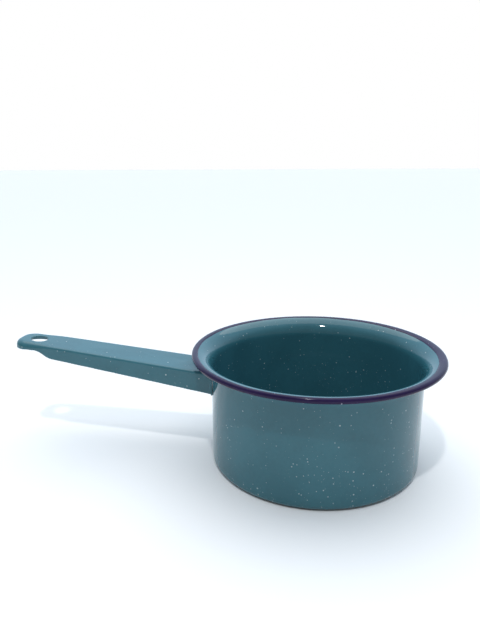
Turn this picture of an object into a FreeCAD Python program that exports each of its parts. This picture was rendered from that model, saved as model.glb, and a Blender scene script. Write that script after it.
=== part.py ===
import FreeCAD, Part
import math
import os
import re

import Sketcher

# Enamelled steel saucepan, used as a candle melting pot.
# Millimetres, +Z up. The origin is the middle of the pot's base, on the surface
# that it stands on. The handle points along -X and rises away from the pot.

MM = FreeCAD.Vector
Y_AXIS = MM(0, 1, 0)
Z_AXIS = MM(0, 0, 1)
OUT = "parts"

DIMENSIONS = {
    # pot body: one drawn sheet, enamelled on both sides
    "rim_radius": 84.0,
    "pot_height": 78.0,
    "wall_radius": 70.9,
    "wall_gauge": 0.9,
    "base_corner": 4.0,
    # rolled edge and the darker second coat on it
    "curl_radius": 1.55,
    "curl_sweep": 262.0,
    "coat_gauge": 0.25,
    "coat_spread": 14.0,
    # handle: one pressed channel, open underneath
    "handle_gauge": 1.1,
    "handle_length": 144.0,
    "handle_rise": 6.5,
    "handle_height": 62.1,
    "root_width": 32.0,
    "tip_width": 25.0,
    "nose_corner": 10.5,
    "root_depth": 14.5,
    "neck_depth": 9.1,
    "nose_depth": 4.6,
    "lip_depth": 6.2,
    "neck_reach": 112.5,
    "neck_run": 15.0,
    "root_round": 1.5,
    "nose_round": 3.9,
    # hang hole
    "hole_diameter": 11.6,
    "hole_reach": 128.9,
    # flange that is welded to the wall
    "flange_side": 5.0,
    "flange_top": 3.8,
    "flange_corner": 3.0,
    "bend_radius": 1.2,
    "weld_diameter": 3.5,
}

# How far the handle's solid runs into the pot before the wall's curve is cut from it.
OVERSHOOT = "8"
# Two places nearer than this are the same.
CLOSE = 1e-6
# As near as an edge cut by a curved face comes to that face.
ON_FACE = 1e-3
# The edges round the channel's mouth lie this far inside the box that picks them.
MARGIN = 0.5
# How far down the flange each row of welds is, as a share of its height.
WELD_ROWS = (0.25, 0.75)

SHEET_NAMES = {alias: f"dims.{alias}" for alias in DIMENSIONS}

doc = FreeCAD.newDocument("melting_pot")
sheet = doc.addObject("Spreadsheet::Sheet", "dims")
for row, (alias, size) in enumerate(DIMENSIONS.items(), start=1):
    sheet.set(f"A{row}", alias)
    sheet.set(f"B{row}", str(size))
    sheet.setAlias(f"B{row}", alias)
doc.recompute()


def dim(formula):
    """Put the sheet's name before each dimension that a formula names."""
    return re.sub(r"[a-z_]+", lambda word: SHEET_NAMES.get(word[0], word[0]), formula)


def number(formula):
    """Value of a formula at the sheet's present dimensions."""
    return float(sheet.evalExpression(dim(formula)))


def empty_sketch(body, name, role):
    """New sketch on the origin plane of a body that has this role."""
    plane = next(item for item in body.Origin.OriginFeatures if item.Role == role)
    sketch = body.newObject("Sketcher::SketchObject", name)
    sketch.AttachmentSupport = [(plane, "")]
    sketch.MapMode = "FlatFace"
    return sketch


def outline(body, name, role, corners, edges):
    """Closed sketch on one of the body's origin planes.

    corners holds a pair of formulas for each corner. edges holds, for the edge that
    leaves each corner, None for a straight line, or (radius, side) for an arc: side is
    1 where the centre lies to the left of the way along the edge, -1 to the right, and
    2 or -2 where the arc is longer than half a turn.
    """
    sketch = empty_sketch(body, name, role)
    places = [MM(number(across), number(up), 0) for across, up in corners]
    first_ends = []
    for index, edge in enumerate(edges):
        start = places[index]
        end = places[(index + 1) % len(places)]
        if edge is None:
            sketch.addGeometry(Part.LineSegment(start, end))
            first_ends.append(1)
        else:
            radius, side = edge
            sketch.addGeometry(arc_between(start, end, number(radius), side))
            first_ends.append(1 if side > 0 else 2)
            bind(sketch, Sketcher.Constraint("Radius", index, number(radius)), radius)
        place_point(sketch, index, first_ends[-1], corners[index])
    for index, first_end in enumerate(first_ends):
        following = (index + 1) % len(edges)
        meeting = (index, 3 - first_end, following, first_ends[following])
        sketch.addConstraint(Sketcher.Constraint("Coincident", *meeting))
    return sketch


def bind(sketch, constraint, formula):
    """Add a constraint to a sketch and tie its value to a formula."""
    index = sketch.addConstraint(constraint)
    sketch.setExpression(f"Constraints[{index}]", dim(formula))


def place_point(sketch, geometry, point, formulas):
    """Hold one point of a sketch at a distance from its origin along each axis."""
    for axis, formula in zip(("DistanceX", "DistanceY"), formulas):
        constraint = Sketcher.Constraint(axis, -1, 1, geometry, point, number(formula))
        bind(sketch, constraint, formula)


def arc_between(start, end, radius, side):
    """Arc of a circle from start to end, whose centre lies as outline's side says."""
    chord = end - start
    left = MM(-chord.y, chord.x, 0).normalize()
    rise = math.sqrt(max(radius**2 - (chord.Length / 2) ** 2, 0.0))
    toward = math.copysign(1, side) * (1 if abs(side) == 1 else -1)
    centre = (start + end) / 2 + left * rise * toward
    turn = [math.atan2(place.y - centre.y, place.x - centre.x) for place in (start, end)]
    if side < 0:
        turn.reverse()
    return Part.ArcOfCircle(Part.Circle(centre, Z_AXIS, radius), *turn)


def revolved(label, corners, edges):
    """Body turned through a full circle about Z from an outline in the XZ plane."""
    body = doc.addObject("PartDesign::Body", label)
    sketch = outline(body, f"{label}_section", "XZ_Plane", corners, edges)
    turned = body.newObject("PartDesign::Revolution", f"{label}_turned")
    turned.Profile = sketch
    turned.ReferenceAxis = (sketch, ["V_Axis"])
    turned.Angle = 360
    doc.recompute()
    return body


# The flare is a quarter circle from the wall to the top of the curl.
CURL_X = "(rim_radius - coat_gauge - curl_radius)"
CURL_Z = "(pot_height - coat_gauge - curl_radius)"
INNER_WALL = "(wall_radius - wall_gauge)"
FLARE = f"({CURL_X} - {INNER_WALL})"
FLARE_Z = f"({CURL_Z} + curl_radius - {FLARE})"


def on_curl(radius, angle):
    """Corner on a circle about the curl's centre, angle counted clockwise from its top."""
    return (f"{CURL_X} + {radius} * sin({angle})", f"{CURL_Z} + {radius} * cos({angle})")


def pot_body():
    """Base, wall, flare and curled edge as one sheet of even thickness."""
    hollow = "(curl_radius - wall_gauge)"
    corners = [
        ("0", "0"),
        ("wall_radius - base_corner", "0"),
        ("wall_radius", "base_corner"),
        ("wall_radius", FLARE_Z),
        on_curl(hollow, "0"),
        on_curl(hollow, "curl_sweep"),
        on_curl("curl_radius", "curl_sweep"),
        on_curl("curl_radius", "0"),
        (INNER_WALL, FLARE_Z),
        (INNER_WALL, "base_corner"),
        ("wall_radius - base_corner", "wall_gauge"),
        ("0", "wall_gauge"),
    ]
    edges = [
        None,
        ("base_corner", 1),
        None,
        (f"{FLARE} - wall_gauge", -1),
        (hollow, -2),
        None,
        ("curl_radius", 2),
        (FLARE, 1),
        None,
        ("base_corner - wall_gauge", -1),
        None,
        None,
    ]
    return revolved("pot_body", corners, edges)


def rim_enamel():
    """Second coat of enamel, over the curl and the outermost part of the flare."""
    outer = "(curl_radius + coat_gauge)"
    edge_x = f"{CURL_X} - {{}} * sin(coat_spread)"
    edge_z = f"{FLARE_Z} + {{}} * cos(coat_spread)"
    above = f"({FLARE} + coat_gauge)"
    corners = [
        (edge_x.format(FLARE), edge_z.format(FLARE)),
        on_curl("curl_radius", "0"),
        on_curl("curl_radius", "curl_sweep"),
        on_curl(outer, "curl_sweep"),
        on_curl(outer, "0"),
        (edge_x.format(above), edge_z.format(above)),
    ]
    edges = [
        (FLARE, -1),
        ("curl_radius", -2),
        None,
        (outer, 2),
        (above, 1),
        None,
    ]
    return revolved("rim_enamel", corners, edges)


# The handle is drawn in its own frame: its origin is the middle of the top face where
# that face meets the wall, the handle runs along -X, and +Z is square to its top.
TAPER = "((root_width - tip_width) / 2 / handle_length)"
SLANT = f"sqrt(1 + {TAPER} * {TAPER})"
NOSE_X = "(handle_length - nose_corner)"
NOSE_Y = f"(root_width / 2 - {TAPER} * {NOSE_X} - nose_corner * {SLANT})"


def handle_plan(inset):
    """Top view: two sides that close in by an even taper, and a rounded nose."""
    corner = f"(nose_corner - {inset})"
    tip = f"-(handle_length - {inset})"
    turn_x = f"-({NOSE_X} + {corner} * {TAPER} / {SLANT})"
    turn_y = f"({NOSE_Y} + {corner} / {SLANT})"
    root_y = f"(root_width / 2 + {TAPER} * {OVERSHOOT} - {inset} * {SLANT})"
    neck_y = f"(root_width / 2 - {TAPER} * neck_reach - {inset} * {SLANT})"
    corners = [
        (OVERSHOOT, f"-{root_y}"),
        ("-neck_reach", f"-{neck_y}"),
        (turn_x, f"-{turn_y}"),
        (tip, f"-{NOSE_Y}"),
        (tip, NOSE_Y),
        (turn_x, turn_y),
        ("-neck_reach", neck_y),
        (OVERSHOOT, root_y),
    ]
    return corners, [None, None, (corner, -1), None, (corner, -1), None, None, None]


def handle_underside():
    """Side view of what lies below the bottom edge.

    The edge steps up before the nose and sinks again a little towards its lip.
    """
    fall = "((root_depth - neck_depth) / neck_reach)"
    step = "(neck_depth - nose_depth)"
    sweep = f"(neck_run * neck_run + {step} * {step}) / 4 / {step}"
    sink = "((lip_depth - nose_depth) / (handle_length - neck_reach - neck_run))"
    past = f"-(handle_length + {OVERSHOOT})"
    below = "-3 * root_depth"
    corners = [
        (OVERSHOOT, f"-(root_depth + {fall} * {OVERSHOOT})"),
        ("-neck_reach", "-neck_depth"),
        ("-(neck_reach + neck_run / 2)", "-(neck_depth + nose_depth) / 2"),
        ("-(neck_reach + neck_run)", "-nose_depth"),
        (past, f"-(lip_depth + {sink} * {OVERSHOOT})"),
        (past, below),
        (OVERSHOOT, below),
    ]
    return corners, [None, (sweep, -1), (sweep, 1), None, None, None, None]


def place_on_wall(item):
    """Put something drawn in the handle's frame where the handle meets the pot."""
    item.Placement = FreeCAD.Placement(
        MM(-number("wall_radius"), 0, number("handle_height")),
        FreeCAD.Rotation(Y_AXIS, number("handle_rise")),
    )
    item.setExpression("Placement.Base.x", dim("-wall_radius"))
    item.setExpression("Placement.Base.z", dim("handle_height"))
    item.setExpression("Placement.Rotation.Angle", dim("handle_rise"))


def handle_block(label, inset):
    """Solid form of the handle, this far inside its outer surface, still sharp edged."""
    body = doc.addObject("PartDesign::Body", label)
    plan = outline(body, f"{label}_plan", "XY_Plane", *handle_plan(inset))
    plan.setExpression("AttachmentOffset.Base.z", dim(f"-{inset}"))
    block = body.newObject("PartDesign::Pad", f"{label}_pad")
    block.Profile = plan
    block.setExpression("Length", dim("2 * root_depth"))
    block.Reversed = True
    block.Refine = False
    place_on_wall(body)
    doc.recompute()
    return body


def cut_through(body, sketch):
    """Remove a sketch's outline from the whole of a body, and check that it cut."""
    before = body.Shape.Volume
    pocket = body.newObject("PartDesign::Pocket", f"{sketch.Name}_cut")
    pocket.Profile = sketch
    pocket.Type = "ThroughAll"
    pocket.SideType = "Symmetric"
    pocket.Refine = False
    doc.recompute()
    if not body.Shape.Volume < before:
        raise ValueError(f"{pocket.Name} removed nothing")


def rounded_top(label, body, inset):
    """Round the top edges: tight along the handle, growing to a full round at the nose."""
    tight = number(f"root_round - {inset}")
    full = number(f"nose_round - {inset}")
    neck = number("-neck_reach")
    to_local = body.Placement.inverse()
    picked = []
    for index, edge in enumerate(body.Shape.Edges, start=1):
        ends = [to_local.multVec(vertex.Point) for vertex in edge.Vertexes]
        if len(ends) < 2 or any(abs(end.z + number(inset)) > CLOSE for end in ends):
            continue
        if all(end.x > neck + CLOSE for end in ends):
            continue
        radii = [tight if end.x > neck - CLOSE else full for end in ends]
        picked.append((index, *radii))
    rounded = doc.addObject("Part::Fillet", label)
    rounded.Base = body
    rounded.Edges = picked
    doc.recompute()
    return rounded


def disc(label, radius):
    """Upright cylinder about the pot's axis, as high as the pot."""
    cylinder = doc.addObject("Part::Cylinder", label)
    cylinder.setExpression("Radius", dim(radius))
    cylinder.setExpression("Height", dim("pot_height"))
    return cylinder


def joined(kind, label, base, tool):
    """Cut or Common of two objects, as a new object."""
    result = doc.addObject(f"Part::{kind}", label)
    result.Base = base
    result.Tool = tool
    doc.recompute()
    return result


def weld_cylinders():
    """Round cylinders right through the flange, two on each side of the handle's mouth."""
    spots = []
    radius = "(wall_radius - handle_gauge)"
    turn = math.degrees(math.asin(number(f"(root_width + flange_side) / 2 / {radius}")))
    for side in (-1, 1):
        for share in WELD_ROWS:
            spot = doc.addObject("Part::Cylinder", "weld_cylinder")
            spot.setExpression("Radius", dim("weld_diameter / 2"))
            spot.setExpression("Height", dim("3 * handle_gauge"))
            outward = FreeCAD.Rotation(Z_AXIS, 180 + side * turn) * FreeCAD.Rotation(Y_AXIS, 90)
            height = f"handle_height + flange_top - {share} * (flange_top + root_depth)"
            middle = outward.multVec(MM(0, 0, number(radius))) + MM(0, 0, number(height))
            spot.Placement = FreeCAD.Placement(middle, outward)
            spots.append(spot)
    group = doc.addObject("Part::MultiFuse", "weld_cylinders")
    group.Shapes = spots
    doc.recompute()
    return group


def flange_block():
    """Sheet of the handle's gauge that lies on the wall round the channel's mouth."""
    half = "(root_width / 2 + flange_side)"
    top = "handle_height + flange_top"
    low = "handle_height - root_depth"
    body = doc.addObject("PartDesign::Body", "flange_outline")
    corners = [(f"-{half}", low), (half, low), (half, top), (f"-{half}", top)]
    block = body.newObject("PartDesign::Pad", "flange_pad")
    block.Profile = outline(body, "flange_face", "YZ_Plane", corners, [None] * 4)
    block.setExpression("Length", dim("wall_radius + handle_gauge"))
    block.Reversed = True
    doc.recompute()
    rounded = body.newObject("PartDesign::Fillet", "flange_corners")
    along = [
        f"Edge{index}"
        for index, edge in enumerate(block.Shape.Edges, start=1)
        if abs(edge.tangentAt(edge.FirstParameter).x) > 1 - CLOSE
    ]
    rounded.Base = (block, along)
    rounded.setExpression("Radius", dim("flange_corner"))
    doc.recompute()
    return joined("Common", "flange_on_wall", body, disc("flange_skin", "wall_radius + handle_gauge"))


def hang_hole(body):
    """Round hole through the handle's top near its nose."""
    radius = "hole_diameter / 2"
    centre = ("-hole_reach", "0")
    sketch = empty_sketch(body, "hang_hole", "XY_Plane")
    sketch.addGeometry(Part.Circle(MM(number(centre[0]), 0, 0), Z_AXIS, number(radius)))
    place_point(sketch, 0, 3, centre)
    bind(sketch, Sketcher.Constraint("Radius", 0, number(radius)), radius)
    cut_through(body, sketch)


def bent_mouth(trimmed):
    """Round the bend where the channel's sides and top turn outward into the flange."""
    skin = number("wall_radius + handle_gauge")
    half = number("root_width / 2") + MARGIN
    low = number("handle_height - root_depth") + MARGIN
    high = number("handle_height") + MARGIN
    bend = number("bend_radius")
    picked = []
    for index, edge in enumerate(trimmed.Shape.Edges, start=1):
        first, last = edge.ParameterRange
        places = [edge.valueAt(stop) for stop in (first, (first + last) / 2, last)]
        middle = places[1]
        on_skin = all(abs(math.hypot(at.x, at.y) - skin) < ON_FACE for at in places)
        if on_skin and abs(middle.y) < half and low < middle.z < high:
            picked.append((index, bend, bend))
    rounded = doc.addObject("Part::Fillet", "handle_bent")
    rounded.Base = trimmed
    rounded.Edges = picked
    doc.recompute()
    return rounded


def handle(weld_tool):
    """Pressed channel, hollow underneath, whose mouth turns outward into a flange."""
    outer = handle_block("handle_outer", "0")
    cut_through(outer, outline(outer, "underside", "XZ_Plane", *handle_underside()))
    hang_hole(outer)
    outside = rounded_top("handle_outside", outer, "0")
    inner = handle_block("handle_inner", "handle_gauge")
    inside = rounded_top("handle_inside", inner, "handle_gauge")
    filled = doc.addObject("Part::MultiFuse", "handle_filled")
    filled.Shapes = [outside, flange_block()]
    hollow = joined("Cut", "handle_hollow", filled, inside)
    trimmed = joined("Cut", "handle_trimmed", hollow, disc("wall_outside", "wall_radius"))
    return joined("Cut", "handle", bent_mouth(trimmed), weld_tool)


def spot_welds(weld_tool):
    """The metal of the welds: plugs that fill the flange from the wall to its outside."""
    outside = disc("flange_outside", "wall_radius + handle_gauge")
    inside = disc("wall_face", "wall_radius")
    ring = joined("Cut", "weld_ring", outside, inside)
    return joined("Common", "spot_welds", ring, weld_tool)


def check_document():
    """Stop if any object of the document failed to build."""
    failed = [item.Name for item in doc.Objects if {"Invalid", "Error"} & set(item.State)]
    if failed:
        raise ValueError(f"objects that failed: {failed}")


weld_tool = weld_cylinders()
parts = [pot_body(), rim_enamel(), handle(weld_tool), spot_welds(weld_tool)]
doc.recompute()
check_document()
for part in parts:
    if part.Shape.isNull() or not part.Shape.isValid():
        raise ValueError(f"{part.Label} has no valid shape")

os.makedirs(OUT, exist_ok=True)
for part in parts:
    part.Shape.exportStep(f"{OUT}/{part.Label}.step")
    print(part.Label, len(part.Shape.Solids), "solids", round(part.Shape.Volume), "mm3")
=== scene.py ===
import math

import bmesh
import bpy
from mathutils import Matrix, Vector, noise


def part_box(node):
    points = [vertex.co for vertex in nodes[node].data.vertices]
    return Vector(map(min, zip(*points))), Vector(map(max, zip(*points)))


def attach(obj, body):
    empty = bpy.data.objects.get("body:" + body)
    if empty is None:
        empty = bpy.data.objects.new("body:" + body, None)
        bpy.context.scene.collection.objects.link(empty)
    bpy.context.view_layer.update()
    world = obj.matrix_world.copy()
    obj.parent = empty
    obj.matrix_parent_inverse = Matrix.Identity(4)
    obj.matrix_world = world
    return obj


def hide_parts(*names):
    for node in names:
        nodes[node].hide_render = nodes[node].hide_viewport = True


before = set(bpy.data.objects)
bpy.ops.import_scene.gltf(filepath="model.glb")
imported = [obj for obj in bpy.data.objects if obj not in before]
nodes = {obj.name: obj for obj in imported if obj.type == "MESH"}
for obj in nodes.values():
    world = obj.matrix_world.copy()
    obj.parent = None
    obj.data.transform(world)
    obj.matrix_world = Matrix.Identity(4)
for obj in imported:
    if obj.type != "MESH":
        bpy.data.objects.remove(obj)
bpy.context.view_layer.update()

# Everything below is worked out in millimetres and turned into metres as it is built.
MM = 0.001

# The pot's section, as the CAD has it. The rim's own size comes from the frame.
RIM_LOW, RIM_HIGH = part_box("rim_enamel")
RIM_RADIUS = RIM_HIGH.x / MM
RIM_TOP = RIM_HIGH.z / MM
WALL_RADIUS = 70.9
GAUGE = 0.9
BASE_CORNER = 4.0
CURL_RADIUS = 1.55
CURL_SWEEP = 262.0
COAT = 0.25

CURL_X = RIM_RADIUS - COAT - CURL_RADIUS
CURL_Z = RIM_TOP - COAT - CURL_RADIUS
FLARE = CURL_X - (WALL_RADIUS - GAUGE)
FLARE_Z = CURL_Z + CURL_RADIUS - FLARE

# The handle's own frame: where its top meets the wall, and how steeply it rises.
HANDLE_START = Vector((-WALL_RADIUS, 0.0, 62.1))
HANDLE_RISE = math.radians(6.5)


# ---------------------------------------------------------------- small helpers


def smooth_step(value, start, end):
    """0 below start and 1 above end, smooth between. start may be the larger."""
    share = min(max((value - start) / (end - start), 0.0), 1.0)
    return share * share * (3.0 - 2.0 * share)


def on_circle(centre, radius, angle):
    """Point of a section, its angle in degrees clockwise from the top."""
    turn = math.radians(angle)
    return (centre[0] + radius * math.sin(turn), centre[1] + radius * math.cos(turn))


def arc(centre, radius, first, last, steps):
    """Points of an arc from just after its first end to its last."""
    span = (last - first) / steps
    return [on_circle(centre, radius, first + span * step) for step in range(1, steps + 1)]


def straight(start, end, steps):
    """Points of a straight run from just after its start to its end."""
    return [
        tuple(a + (b - a) * step / steps for a, b in zip(start, end)) for step in range(1, steps + 1)
    ]


# How far the pot is from true: its rim pressed oval and three-lobed, its rim's dip, its wall's ripple.
OVAL = 0.16
THREE_LOBED = 0.06
RIM_DIP = 0.14
WALL_RIPPLE = 0.05
RIPPLE_LENGTH = 17.0


def lobes(angle, count, turned):
    """0 to 1 and back this many times round the pot."""
    return (1 + math.cos(count * angle + turned)) / 2


def settled(point):
    """A hand-finished pot is a little out of round, and its rim isn't quite level."""
    height = point.z / RIM_TOP
    angle = math.atan2(point.y, point.x)
    squeeze = OVAL * lobes(angle, 2, 0.7) + THREE_LOBED * lobes(angle, 3, 2.0)
    ripple = WALL_RIPPLE * noise.noise(Vector((point.x, point.y, point.z * 0.6)) / RIPPLE_LENGTH)
    radius = math.hypot(point.x, point.y)
    share = 1.0 - (squeeze * height + abs(ripple)) / max(radius, WALL_RADIUS)
    dip = RIM_DIP * lobes(angle, 2, 1.9) * height**3
    return Vector((point.x * share, point.y * share, point.z - dip))


def add_mesh(name, points, faces, material, **attributes):
    """Mesh piece on the root body, from points in millimetres, shaded smooth."""
    data = bpy.data.meshes.new(name)
    data.from_pydata([point * MM for point in points], [], faces)
    for key, values in attributes.items():
        data.attributes.new(key, "FLOAT", "POINT").data.foreach_set("value", values)
    data.polygons.foreach_set("use_smooth", [True] * len(data.polygons))
    data.materials.append(material)
    data.update()
    piece = bpy.data.objects.new(name, data)
    bpy.context.scene.collection.objects.link(piece)
    return piece


# ---------------------------------------------------------------- materials


class Nodes:
    """Short way to write a node tree."""

    # Where a colour mix node has its first and second colour, and its result.
    MIX_LOW, MIX_HIGH, MIX_RESULT = 6, 7, 2

    def __init__(self, tree):
        self.tree = tree

    def add(self, kind, inputs=None, **settings):
        node = self.tree.nodes.new(kind)
        for key, value in settings.items():
            setattr(node, key, value)
        for key, value in (inputs or {}).items():
            self.feed(node.inputs[key], value)
        return node

    def feed(self, socket, value):
        if isinstance(value, bpy.types.NodeSocket):
            self.tree.links.new(value, socket)
        else:
            socket.default_value = value

    def math(self, operation, *values):
        node = self.add("ShaderNodeMath", operation=operation)
        for socket, value in zip(node.inputs, values):
            self.feed(socket, value)
        return node.outputs[0]

    def mix(self, share, low, high):
        node = self.add("ShaderNodeMix", data_type="RGBA")
        self.feed(node.inputs[0], share)
        self.feed(node.inputs[self.MIX_LOW], low)
        self.feed(node.inputs[self.MIX_HIGH], high)
        return node.outputs[self.MIX_RESULT]

    def ramp(self, value, start, end):
        """0 below start and 1 above end, smooth between."""
        node = self.add("ShaderNodeMapRange", {"Value": value, "From Min": start, "From Max": end})
        node.interpolation_type = "SMOOTHSTEP"
        return node.outputs[0]

    def noise(self, where, size, detail=2.0):
        """Noise whose blobs are about this many millimetres across, from 0 to 1."""
        inputs = {"Vector": where, "Scale": 1 / size, "Detail": detail, "Roughness": 0.5}
        return self.add("ShaderNodeTexNoise", inputs).outputs["Fac"]


def new_material(name):
    """Material with its node helper and its shader."""
    material = bpy.data.materials.new(name)
    material.use_nodes = True
    return material, Nodes(material.node_tree), material.node_tree.nodes["Principled BSDF"]


def colour(red, green, blue):
    """Opaque colour, in linear light."""
    return (red, green, blue, 1.0)


# Dark steel colour: real oxidised steel where the glass has rubbed through, and painted shade on the
# handle's down-facing edges and the foot's corner.
BARE_STEEL_AND_SHADE = (0.030, 0.027, 0.026)


def place_in_mm(build):
    """Position on the object, in millimetres."""
    where = build.add("ShaderNodeTexCoord").outputs["Object"]
    scaled = build.add("ShaderNodeVectorMath", {0: where}, operation="SCALE")
    scaled.inputs["Scale"].default_value = 1 / MM
    return scaled.outputs[0]


def flecks(build, where, spacing, radius, share):
    """Round spots about a cell apart, spacing and radius in millimetres.

    share is how many of the cells hold one.
    """
    cells = build.add("ShaderNodeTexVoronoi", {"Vector": where, "Scale": 1 / spacing, "Randomness": 1.0})
    lottery = build.add("ShaderNodeSeparateColor", {0: cells.outputs["Color"]})
    held = build.math("GREATER_THAN", share, lottery.outputs[0])
    size = build.math("MULTIPLY_ADD", lottery.outputs[1], radius * 0.7, radius * 0.5)
    away = build.math("DIVIDE", build.math("MULTIPLY", cells.outputs["Distance"], spacing), size)
    spot = build.math("SUBTRACT", 1.0, build.ramp(away, 0.55, 1.0))
    strength = build.math("MULTIPLY_ADD", lottery.outputs[2], 0.6, 0.4)
    return build.math("MULTIPLY", build.math("MULTIPLY", spot, held), strength)


def enamel(name, deep, pale, fleck_colour, fleck_share, roughness, gloss):
    """Fired glass on steel: clouded colour, pale flecks, soft ripples, dark steel colour where the glass
    has rubbed through, and painted shade on down-facing edges.

    fleck_share is scaled by how thick the glass gathered: most low down on the pot.
    """
    material, build, shader = new_material(name)
    where = place_in_mm(build)
    cloud = build.noise(where, 30.0, 3.0)
    fine = build.noise(where, 2.2, 2.0)
    tone = build.math("MULTIPLY_ADD", cloud, 0.75, build.math("MULTIPLY", fine, 0.25))
    body = build.mix(build.ramp(tone, 0.35, 0.65), colour(*deep), colour(*pale))

    gather = build.ramp(build.noise(where, 22.0, 1.0), 0.36, 0.60)
    height = build.add("ShaderNodeSeparateXYZ", {0: where}).outputs["Z"]
    low_down = build.math("MULTIPLY_ADD", build.ramp(height, 58.0, 22.0), 0.65, 0.35)
    thick = build.math("MULTIPLY", build.math("MULTIPLY_ADD", gather, 0.8, 0.2), low_down)
    large = flecks(build, where, 3.0, 0.50, build.math("MULTIPLY", thick, fleck_share))
    small = flecks(build, where, 1.9, 0.28, build.math("MULTIPLY", thick, fleck_share * 0.8))
    spots = build.math("MAXIMUM", large, build.math("MULTIPLY", small, 0.5))
    body = build.mix(spots, body, colour(*fleck_colour))

    ragged = build.math("MULTIPLY_ADD", build.noise(where, 3.0, 3.0), 0.9, -0.45)
    # Painted shade and wear: this attribute darkens rubbed enamel and also shaded down-facing edges with
    # the dark steel colour.
    thin_and_shade = build.add("ShaderNodeAttribute", attribute_name="bare").outputs["Fac"]
    worn_and_shaded = build.ramp(build.math("ADD", thin_and_shade, build.math("MULTIPLY", thin_and_shade, ragged)), 0.25, 0.75)
    build.feed(shader.inputs["Base Color"], build.mix(worn_and_shaded, body, colour(*BARE_STEEL_AND_SHADE)))

    smear = build.math("MULTIPLY_ADD", build.noise(where, 40.0, 4.0), 0.07, roughness)
    build.feed(shader.inputs["Roughness"], build.math("MULTIPLY_ADD", worn_and_shaded, 0.3, smear))
    ripple = build.math("MULTIPLY", build.noise(where, 11.0, 1.0), 0.045)
    peel = build.math("MULTIPLY", build.noise(where, 1.5, 1.0), 0.0025)
    raised = build.math("MULTIPLY", spots, 0.01)
    rise = build.math("ADD", build.math("ADD", ripple, peel), raised)
    bump = build.add("ShaderNodeBump", {"Height": rise, "Distance": MM})
    build.feed(shader.inputs["Normal"], bump.outputs[0])
    shader.inputs["IOR"].default_value = 1.5
    shader.inputs["Specular IOR Level"].default_value = gloss
    return material


teal = enamel(
    "teal_enamel_coat",
    deep=(0.032, 0.128, 0.162),
    pale=(0.038, 0.148, 0.186),
    fleck_colour=(0.50, 0.60, 0.61),
    fleck_share=1.1,
    roughness=0.02,
    gloss=0.42,
)
navy = enamel(
    "navy_enamel_coat",
    deep=(0.014, 0.007, 0.040),
    pale=(0.022, 0.012, 0.056),
    fleck_colour=(0.55, 0.55, 0.64),
    fleck_share=0.55,
    roughness=0.10,
    gloss=0.18,
)


# ---------------------------------------------------------------- pot body


def pot_section():
    """The sheet's outline from the middle of its underside, round the curl, to the middle inside."""
    inner = WALL_RADIUS - GAUGE
    foot = WALL_RADIUS - BASE_CORNER
    hollow = CURL_RADIUS - GAUGE
    curl = (CURL_X, CURL_Z)
    points = straight((0.0, 0.0), (foot, 0.0), 24)
    points += arc((foot, BASE_CORNER), BASE_CORNER, 180, 90, 14)
    points += straight((WALL_RADIUS, BASE_CORNER), (WALL_RADIUS, FLARE_Z), 30)
    points += arc((CURL_X, FLARE_Z), FLARE - GAUGE, -90, 0, 24)
    points += arc(curl, hollow, 0, CURL_SWEEP, 18)
    points += [on_circle(curl, CURL_RADIUS, CURL_SWEEP)]
    points += arc(curl, CURL_RADIUS, CURL_SWEEP, 0, 28)
    points += arc((CURL_X, FLARE_Z), FLARE, 0, -90, 36)
    points += straight((inner, FLARE_Z), (inner, BASE_CORNER), 30)
    points += arc((foot, BASE_CORNER), BASE_CORNER - GAUGE, 90, 180, 12)
    points += straight((foot, GAUGE), (0.0, GAUGE), 24)[:-1]
    return points


def foot_shade_and_wear(radius, height):
    """Painted shade along the foot's corner, where it meets the floor, and real wear where the base rubs
    on a stove.
    """
    if height > GAUGE / 2 and radius < WALL_RADIUS - GAUGE + 0.05:
        return 0.0
    # Painted shade: the foot's corner is darkened where it meets the floor; the rubbed base underneath
    # is real wear.
    corner = smooth_step(height, 2.3, 1.2) if radius > WALL_RADIUS - BASE_CORNER else 0.0
    rubbed = 0.55 * smooth_step(radius, 58.0, 63.0) if height <= 0.0 else 0.0
    return max(corner * 0.9, rubbed)


def pot_piece():
    """The whole sheet, turned from its section."""
    section = pot_section()
    turns = 384
    points = []
    bare = []
    for radius, height in section:
        for turn in range(turns):
            angle = 2 * math.pi * turn / turns
            points.append(settled(Vector((radius * math.cos(angle), radius * math.sin(angle), height))))
            bare.append(foot_shade_and_wear(radius, height))
    faces = []
    for ring in range(len(section) - 1):
        for turn in range(turns):
            after = (turn + 1) % turns
            first, second = ring * turns, (ring + 1) * turns
            faces.append((first + turn, first + after, second + after, second + turn))
    for ring, height in ((0, 0.0), (len(section) - 1, GAUGE)):
        hub = len(points)
        points.append(Vector((0, 0, height)))
        bare.append(0.0)
        for turn in range(turns):
            pair = (ring * turns + (turn + 1) % turns, ring * turns + turn)
            faces.append((hub, *(pair if ring == 0 else pair[::-1])))
    return add_mesh("pot_body_enamelled", points, faces, teal, bare=bare)


# ---------------------------------------------------------------- rim


def coat_edge(angle):
    """How far down the flare the dark coat comes, in degrees of the flare's arc.

    The rim was dipped by hand, so it comes furthest down opposite the handle.
    """
    dipped = 12.4 + 4.0 * math.cos(angle) + 4.2 * math.sin(angle) + 4.3 * math.cos(2 * angle)
    ragged = noise.noise(Vector((math.cos(angle), math.sin(angle), 0.3)) * 5.0) * 1.6
    fine = noise.noise(Vector((math.cos(angle), math.sin(angle), 4.1)) * 24.0) * 0.5
    return dipped + ragged + fine


# The coat reaches its full thickness over these lengths from its edge on the lip and under the curl.
COAT_START = -0.15
LIP_FEATHER = 0.9
CURL_FEATHER = 0.6


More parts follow.
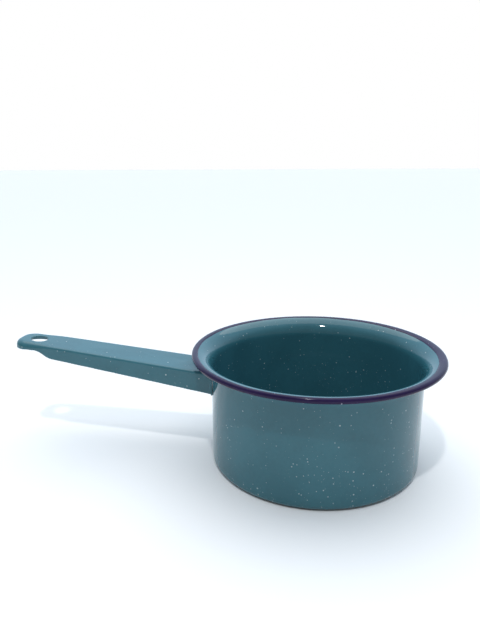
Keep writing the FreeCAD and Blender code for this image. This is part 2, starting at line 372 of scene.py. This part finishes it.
def rim_piece():
    """Dark second coat: over the flare's lip and round the curl, thinning out at its edges."""
    curl = (CURL_X, CURL_Z)
    flare = (CURL_X, FLARE_Z)
    lip_steps, curl_steps, turns = 16, 44, 720
    points = []
    loop = 2 * (lip_steps + curl_steps + 1)
    for turn in range(turns):
        angle = 2 * math.pi * turn / turns
        edge = coat_edge(angle)
        skin = []
        for step in range(lip_steps):
            left = 1 - step / lip_steps
            run = math.radians(edge * (1 - left)) * FLARE
            thick = COAT * smooth_step(run, COAT_START, LIP_FEATHER)
            skin.append((flare, FLARE, thick, -edge * left))
        for step in range(curl_steps + 1):
            share = step / curl_steps
            run = math.radians(CURL_SWEEP * (1 - share)) * CURL_RADIUS
            thick = COAT * smooth_step(run, COAT_START, CURL_FEATHER)
            skin.append((curl, CURL_RADIUS, thick, CURL_SWEEP * share))
        outer = [on_circle(centre, radius + thick, at) for centre, radius, thick, at in skin]
        inner = [on_circle(centre, radius - COAT, at) for centre, radius, thick, at in reversed(skin)]
        for radius, height in outer + inner:
            points.append(settled(Vector((radius * math.cos(angle), radius * math.sin(angle), height))))
    faces = []
    for turn in range(turns):
        here, after = turn * loop, (turn + 1) % turns * loop
        for step in range(loop):
            following = (step + 1) % loop
            faces.append((here + step, here + following, after + following, after + step))
    return add_mesh("rim_enamel_coat", points, faces, navy)


# ---------------------------------------------------------------- handle


# Shallow dents in the handle's top near the pot: middle along and across it, size, depth.
DENTS = [
    ((-24.0, 2.0), (7.0, 4.5), 0.14),
    ((-17.0, -6.0), (5.0, 4.0), 0.08),
    ((-10.0, -3.0), (4.5, 9.0), 0.16),
]


def dent_depth(local):
    """How far the handle's top has sunk here, at a point of the handle's own frame."""
    depth = 0.0
    for (along, across), (length, width), deep in DENTS:
        away = ((local.x - along) / length) ** 2 + ((local.y - across) / width) ** 2
        depth += deep * math.exp(-away)
    return depth


# The handle's fresh skin: how fine it is, and how often it is smoothed.
SKIN_VOXEL = 0.4
SKIN_SMOOTHINGS = 3
# How deep the enamel's waves are and how far apart.
WAVE_DEPTH = 0.06
WAVE_LENGTH = 14.0
# Surfaces that face down and lie below this are the channel's cut edges, darkened as painted shade.
CUT_EDGES_BELOW = -2.2
CUT_EDGE_SHADE = 0.8


def handle_piece():
    """The pressed channel again, its corners rounded over by the enamel, with small dents."""
    data = nodes["handle"].data.copy()
    raw = bpy.data.objects.new("handle_raw", data)
    bpy.context.scene.collection.objects.link(raw)
    welded = bmesh.new()
    welded.from_mesh(data)
    bmesh.ops.remove_doubles(welded, verts=welded.verts, dist=0.002 * MM)
    welded.to_mesh(data)
    welded.free()
    remesh = raw.modifiers.new("even", "REMESH")
    remesh.mode = "VOXEL"
    remesh.voxel_size = SKIN_VOXEL * MM
    relax = raw.modifiers.new("enamel", "SMOOTH")
    relax.factor = 0.5
    relax.iterations = SKIN_SMOOTHINGS
    graph = bpy.context.evaluated_depsgraph_get()
    shaped = bpy.data.meshes.new_from_object(raw.evaluated_get(graph))
    bpy.data.objects.remove(raw)
    to_handle = Matrix.Rotation(-HANDLE_RISE, 3, "Y")
    # The normals come first, because moving a vertex would have them all worked out again.
    normals = [vertex.normal.copy() for vertex in shaped.vertices]
    places = []
    bare = []
    for vertex, normal in zip(shaped.vertices, normals):
        place = vertex.co / MM
        local = to_handle @ (place - HANDLE_START)
        facing = to_handle @ normal
        sag = dent_depth(local) * smooth_step(facing.z, 0.2, 0.8)
        wave = WAVE_DEPTH * noise.noise(local / WAVE_LENGTH)
        places.extend((place - normal * (sag + abs(wave))) * MM)
        # Painted shade: the channel's down-facing cut edges get the dark steel colour, standing in for
        # the shadow under them.
        cut = smooth_step(-facing.z, 0.35, 0.8) if local.z < CUT_EDGES_BELOW else 0.0
        bare.append(cut * CUT_EDGE_SHADE)
    shaped.vertices.foreach_set("co", places)
    shaped.attributes.new("bare", "FLOAT", "POINT").data.foreach_set("value", bare)
    shaped.polygons.foreach_set("use_smooth", [True] * len(shaped.polygons))
    shaped.materials.clear()
    shaped.materials.append(teal)
    piece = bpy.data.objects.new("handle_enamelled", shaped)
    bpy.context.scene.collection.objects.link(piece)
    return piece


# ---------------------------------------------------------------- the object

for piece, node, slot in (
    (pot_piece(), "pot_body", "teal_enamel"),
    (rim_piece(), "rim_enamel", "navy_enamel"),
    (handle_piece(), "handle", "teal_enamel"),
):
    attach(piece, "root")
    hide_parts(node)

nodes["spot_welds"].data.materials.clear()
nodes["spot_welds"].data.materials.append(teal)


# ---------------------------------------------------------------- studio


def floor():
    """Plain pale floor, whose far edge is near the horizon."""
    half = 12.0
    corners = [(-half, -half, 0), (half, -half, 0), (half, half, 0), (-half, half, 0)]
    data = bpy.data.meshes.new("floor")
    data.from_pydata(corners, [], [(0, 1, 2, 3)])
    piece = bpy.data.objects.new("floor", data)
    bpy.context.scene.collection.objects.link(piece)
    material, _, shader = new_material("pale_floor")
    shader.inputs["Base Color"].default_value = colour(0.9, 0.9, 0.9)
    shader.inputs["Roughness"].default_value = 0.7
    shader.inputs["Specular IOR Level"].default_value = 0.1
    data.materials.append(material)


def lamp(name, kind, place, aim, strength, tint=(1, 1, 1), **settings):
    """Light at a place in metres, aimed at another. strength is the lamp's energy."""
    data = bpy.data.lights.new(name, kind)
    data.energy = strength
    data.color = tint
    for key, value in settings.items():
        setattr(data, key, value)
    piece = bpy.data.objects.new(name, data)
    piece.location = place
    piece.rotation_mode = "QUATERNION"
    piece.rotation_quaternion = (Vector(aim) - Vector(place)).to_track_quat("-Z", "Y")
    bpy.context.scene.collection.objects.link(piece)


# The brightest part of the sky, above and behind the pot.
SKY_MIDDLE = (0.0, 0.63, 0.777)
SKY_BRIGHT = (0.78, 0.98, 1.20)
SKY_DIM = (0.28, 0.28, 0.28)
# The sky goes from dim to bright between these cosines of the angle from its middle.
SKY_EDGES = (0.12, 0.72)
BACKDROP = (1.0, 1.0, 1.0)


def sky():
    """Soft cool light from above and behind, a dimmer room in front, white past the floor."""
    world = bpy.data.worlds.new("studio")
    world.use_nodes = True
    build = Nodes(world.node_tree)
    direction = build.add("ShaderNodeTexCoord").outputs["Generated"]
    facing = build.add("ShaderNodeVectorMath", {0: direction, 1: SKY_MIDDLE}, operation="DOT_PRODUCT")
    share = build.ramp(facing.outputs["Value"], *SKY_EDGES)
    light = build.mix(share, colour(*SKY_DIM), colour(*SKY_BRIGHT))
    seen = build.add("ShaderNodeLightPath").outputs["Is Camera Ray"]
    background = world.node_tree.nodes["Background"]
    build.feed(background.inputs["Color"], build.mix(seen, light, colour(*BACKDROP)))
    bpy.context.scene.world = world


floor()
sky()
lamp(
    "high_soft",
    "SUN",
    place=(0, 0.6, 1.6),
    aim=(0, 0, 0),
    strength=1.35,
    tint=(1.0, 0.91, 0.80),
    angle=math.radians(70),
)
lamp(
    "small_spot",
    "AREA",
    place=(-0.07, -0.52, 1.0),
    aim=(0, 0, 0.05),
    strength=3.0,
    shape="DISK",
    size=0.05,
)
bpy.context.scene.view_settings.view_transform = "Standard"


# ---------------------------------------------------------------- camera

CAMERA_PLACE = Vector((0.00467, -0.36529, 0.20050))
CAMERA_AIM = Vector((-0.05202, 0.0, 0.09601))
CAMERA_ROLL = math.radians(-0.369)
LENS = 31.90
SENSOR = 36.0

camera_data = bpy.data.cameras.new("camera")
camera_data.lens = LENS
camera_data.sensor_width = SENSOR
camera = bpy.data.objects.new("camera", camera_data)
camera.location = CAMERA_PLACE
camera.rotation_mode = "QUATERNION"
look = (CAMERA_AIM - CAMERA_PLACE).to_track_quat("-Z", "Y")
camera.rotation_quaternion = look @ Matrix.Rotation(CAMERA_ROLL, 4, "Z").to_quaternion()
bpy.context.scene.collection.objects.link(camera)
bpy.context.scene.camera = camera
